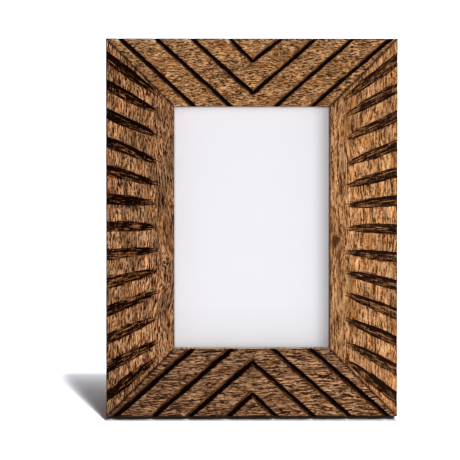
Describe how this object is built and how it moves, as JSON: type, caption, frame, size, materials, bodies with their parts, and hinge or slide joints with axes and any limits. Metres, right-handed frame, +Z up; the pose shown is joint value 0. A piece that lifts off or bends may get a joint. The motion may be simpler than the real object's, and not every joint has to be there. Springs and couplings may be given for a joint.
{
  "type": "carved wooden picture frame",
  "caption": "Upright picture frame of mitred wooden rails, chevron grooves above and below, gouged flutes at the sides, glazed, standing on a hinged easel strut.",
  "frame": {"origin": "middle of the bounding box, on the surface that the frame stands on", "axes": "+Z up, -Y towards the viewer, +X to the viewer's right; the frame leans back 12 degrees towards +Y"},
  "size_m": [0.178, 0.0841, 0.2292],
  "materials": {
    "carved_mango_wood": "hand-carved mango wood, oiled satin, with burnt cuts",
    "window_glass": "clear float glass",
    "white_card": "matte white card",
    "brown_fibreboard": "smooth pressed fibreboard",
    "hinge_brass": "brushed",
    "zinc_plated_steel": "zinc plated"
  },
  "bodies": {
    "frame": {"top_rail": "carved_mango_wood", "bottom_rail": "carved_mango_wood", "left_rail": "carved_mango_wood", "right_rail": "carved_mango_wood", "top_left_v_nails": "zinc_plated_steel", "top_right_v_nails": "zinc_plated_steel", "bottom_left_v_nails": "zinc_plated_steel", "bottom_right_v_nails": "zinc_plated_steel", "glass_pane": "window_glass", "insert_card": "white_card", "backing_board": "brown_fibreboard", "hinge_fixed_leaf": "hinge_brass", "hinge_pin": "hinge_brass", "hinge_board_rivets": "hinge_brass", "upper_left_screw": "zinc_plated_steel", "upper_right_screw": "zinc_plated_steel", "lower_left_screw": "zinc_plated_steel", "lower_right_screw": "zinc_plated_steel"},
    "strut": {"easel_strut": "brown_fibreboard", "hinge_moving_leaf": "hinge_brass", "hinge_strut_rivets": "hinge_brass"},
    "upper_left_button": {"upper_left_turn_button": "zinc_plated_steel"},
    "upper_right_button": {"upper_right_turn_button": "zinc_plated_steel"},
    "lower_left_button": {"lower_left_turn_button": "zinc_plated_steel"},
    "lower_right_button": {"lower_right_turn_button": "zinc_plated_steel"}
  },
  "joints": [
    {"name": "strut_fold", "type": "hinge", "parent": "frame", "child": "strut", "pos_m": [0, 0.00982, 0.16098], "axis": [-1, 0, 0], "range_deg": [0, 22.5]},
    {"name": "upper_left_turn", "type": "hinge", "parent": "frame", "child": "upper_left_button", "pos_m": [-0.0578, 0.00674, 0.15396], "axis": [0, 0.9781, -0.2079], "continuous": true},
    {"name": "upper_right_turn", "type": "hinge", "parent": "frame", "child": "upper_right_button", "pos_m": [0.0578, 0.00674, 0.15396], "axis": [0, 0.9781, -0.2079], "continuous": true},
    {"name": "lower_left_turn", "type": "hinge", "parent": "frame", "child": "lower_left_button", "pos_m": [-0.0578, -0.01072, 0.0718], "axis": [0, 0.9781, -0.2079], "continuous": true},
    {"name": "lower_right_turn", "type": "hinge", "parent": "frame", "child": "lower_right_button", "pos_m": [0.0578, -0.01072, 0.0718], "axis": [0, 0.9781, -0.2079], "continuous": true}
  ]
}
